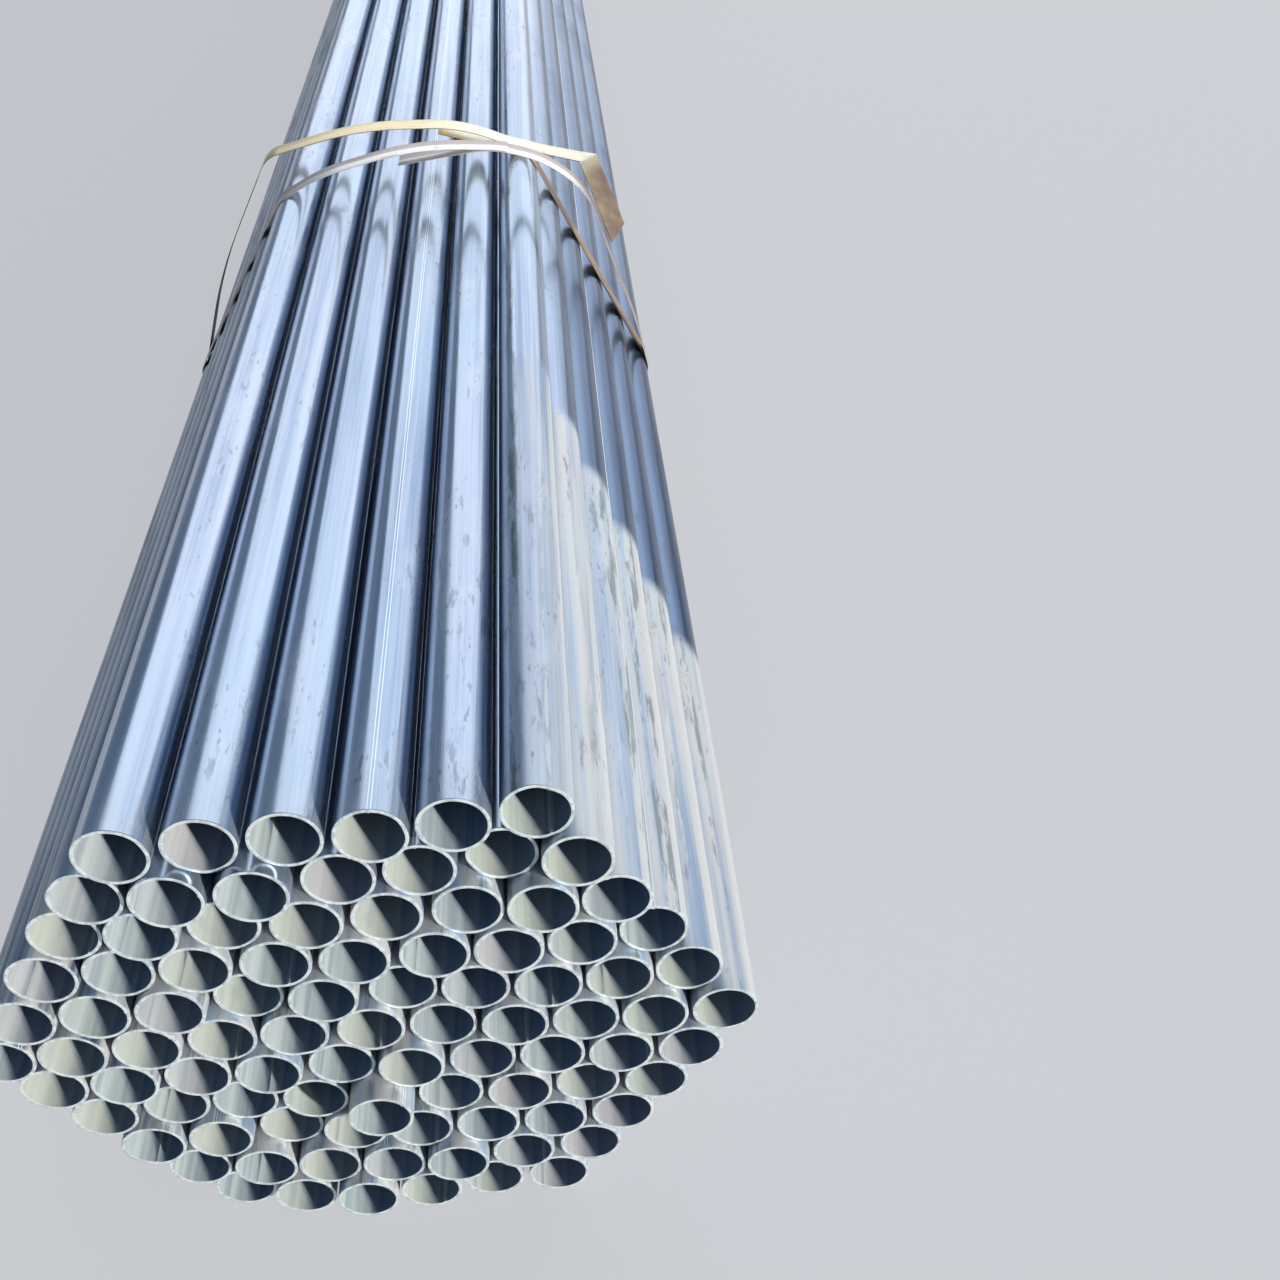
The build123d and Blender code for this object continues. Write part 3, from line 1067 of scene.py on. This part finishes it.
@dataclass
class Strap:
    """A strap or seal of the bundle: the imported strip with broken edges, in its lacquer."""

    node: str
    kind: StrapKind
    slot: str
    edge: StrapKind = StrapKind.EDGE
    crimps: Union[Crimps, None] = None
    edge_break: float = 0.18 * MM
    edge_facing: float = 0.8
    flat_angle: float = math.radians(0.3)

    def build(self) -> bpy.types.Object:
        """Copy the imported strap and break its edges.

        Returns:
            The piece, riding on the bundle.
        """
        strip = packed_shape(self.node)
        bmesh.ops.dissolve_limit(
            strip, angle_limit=self.flat_angle, use_dissolve_boundaries=False,
            verts=strip.verts[:], edges=strip.edges[:], delimit={"NORMAL"},
        )
        if self.crimps:
            self.crimps.press(strip)
        self._tell_front(strip)
        break_edges(strip, self.edge_break)
        for face in strip.faces:
            face.material_index = int(abs(face.normal.y) > self.edge_facing)
        finishes = [kind.value.material() for kind in (self.kind, self.edge)]
        return dressed_piece(strip, self.node, finishes)

    def _tell_front(self, strip: bmesh.types.BMesh) -> None:
        """Write a map that runs from 0 at the back edge of the strap to 1 at its front edge.

        Args:
            strip: Mesh of the strap.
        """
        layer = strip.loops.layers.uv.new(FRONT_SHARE)
        front = {vert for face in strip.faces if face.normal.y < -self.edge_facing for vert in face.verts}
        for face in strip.faces:
            for loop in face.loops:
                loop[layer].uv = (float(loop.vert in front), 0.0)


@dataclass(frozen=True)
class Sun:
    """A far, even lamp: its strength, its width in degrees, the direction of its light and its colour."""

    name: str
    level: float
    width: float
    travel: Triple
    colour: Colour

    def hang(self) -> None:
        """Hang the lamp."""
        lamp = bpy.data.lights.new(self.name, "SUN")
        lamp.energy = self.level
        lamp.angle = math.radians(self.width)
        lamp.color = self.colour
        hung = new_object(self.name, lamp)
        hung.rotation_euler = Vector(self.travel).to_track_quat("-Z", "Y").to_euler()


@dataclass
class Studio:
    """Floor, surroundings, lamps and camera."""

    floor_reach: float = 60.0
    floor_colour: Colour = (0.50, 0.51, 0.53)
    floor_roughness: float = 0.9
    floor_glow: Colour = (0.78, 0.79, 0.81)
    glow_share: float = 0.6
    surroundings: Colour = (0.58, 0.76, 1.0)
    fill_level: float = 0.32
    key: Sun = Sun("key_lamp", 5.6, 2.5, (-0.721, 0.669, -0.18), (1.0, 0.98, 0.93))
    sheen: Sun = Sun("sheen_lamp", 1.05, 63.0, (-0.15, -0.86, -0.488), (0.94, 0.96, 1.0))
    camera_place: Triple = (0.1509, -3.6171, 1.0759)
    camera_pitch: float = 38.626
    camera_yaw: float = 4.296
    camera_roll: float = 0.362
    focal_length: float = 39.23
    sensor_width: float = 36.0
    view_reach: float = 300.0

    def build(self) -> None:
        """Set up everything that isn't the bundle."""
        bpy.context.scene.view_settings.view_transform = "Standard"
        self._lay_floor()
        self._surround()
        self.key.hang()
        self.sheen.hang()
        self._place_camera()

    def _lay_floor(self) -> None:
        """Lay a plain pale floor, which keeps the shadow of the bundle."""
        sheet = bmesh.new()
        bmesh.ops.create_grid(sheet, x_segments=1, y_segments=1, size=self.floor_reach)
        floor = new_object("studio_floor", new_mesh("studio_floor", sheet))
        material, plan = new_finish("pale_floor")
        inputs = {"Base Color": self.floor_colour, "Roughness": self.floor_roughness}
        matt = plan.add("ShaderNodeBsdfPrincipled", inputs=inputs)[0]
        glow = plan.add("ShaderNodeEmission", inputs={"Color": self.floor_glow, "Strength": 1.0})[0]
        share = self._seen(plan) * self.glow_share
        plan.surface(plan.add("ShaderNodeMixShader", inputs={0: share, 1: matt, 2: glow})[0])
        floor.data.materials.append(material)

    @staticmethod
    def _seen(plan: NodePlan) -> Wire:
        """Tell rays that are looked along from rays that only carry light.

        Args:
            plan: Plan of the finish.

        Returns:
            1 for rays of the camera, of mirror-like surfaces and through glass, and 0 for the others.
        """
        path = plan.add("ShaderNodeLightPath")
        seen = path["Is Camera Ray"] + path["Is Glossy Ray"] + path["Is Transmission Ray"]
        return seen.smaller(1.0)

    def _surround(self) -> None:
        """Surround the bundle with even, dim, bluish light."""
        world = bpy.data.worlds.new("pale_surroundings")
        world.use_nodes = True
        bpy.context.scene.world = world
        plan = NodePlan(world.node_tree)
        inputs = {"Color": self.surroundings, "Strength": self.fill_level}
        plan.surface(plan.add("ShaderNodeBackground", inputs=inputs)[0])

    def _place_camera(self) -> None:
        """Place the camera at the viewing angle of the picture."""
        pitch = math.radians(self.camera_pitch)
        yaw = math.radians(self.camera_yaw)
        roll = math.radians(self.camera_roll)
        ahead = Vector((math.sin(yaw) * math.cos(pitch), math.cos(yaw) * math.cos(pitch), -math.sin(pitch)))
        level_right = Vector((math.cos(yaw), -math.sin(yaw), 0.0))
        level_down = ahead.cross(level_right)
        right = level_right * math.cos(roll) + level_down * math.sin(roll)
        down = level_down * math.cos(roll) - level_right * math.sin(roll)
        lens = bpy.data.cameras.new("picture_camera")
        lens.sensor_width = self.sensor_width
        lens.lens = self.focal_length
        lens.clip_end = self.view_reach
        camera = new_object("picture_camera", lens)
        turned = Matrix((right, -down, -ahead)).transposed().to_4x4()
        camera.matrix_world = Matrix.Translation(self.camera_place) @ turned
        bpy.context.scene.camera = camera


@dataclass
class TubeBundle:
    """The whole bundle: eleven rows of tubes and its strapping."""

    rows: int = 11
    wall: TubeWall = field(default_factory=TubeWall)

    def build(self) -> list[bpy.types.Object]:
        """Build and dress every piece.

        Returns:
            The pieces, in the order they were made.
        """
        wall = self.wall.build()
        skins = [TubeSkin().material(), BoreSkin().material(), CutSteel().material()]
        pieces = [TubeRow(number, wall, skins).build() for number in range(1, self.rows + 1)]
        bpy.data.meshes.remove(wall)
        straps = (
            Strap("strap_front_golden", StrapKind.GOLDEN, "strap_golden", StrapKind.GOLDEN_EDGE),
            Strap("strap_front_silvery", StrapKind.SILVERY, "strap_silvery", StrapKind.SILVERY_EDGE),
            Strap("strap_middle", StrapKind.PLAIN, "strap_plain", crimps=Crimps()),
            Strap("strap_back", StrapKind.PLAIN, "strap_plain", crimps=Crimps()),
            Strap("strap_seal_middle", StrapKind.SEAL, "seal_steel", crimps=Crimps()),
            Strap("strap_seal_back", StrapKind.SEAL, "seal_steel", crimps=Crimps()),
        )
        return pieces + [strap.build() for strap in straps]


def main() -> None:
    logging.basicConfig(level=logging.INFO, format="%(name)s: %(message)s")
    for piece in TubeBundle().build():
        triangles = sum(len(face.vertices) - 2 for face in piece.data.polygons)
        log.info("%s: %d triangles", piece.name, triangles)
    Studio().build()
    bpy.context.view_layer.update()


if __name__ == "__main__":
    main()
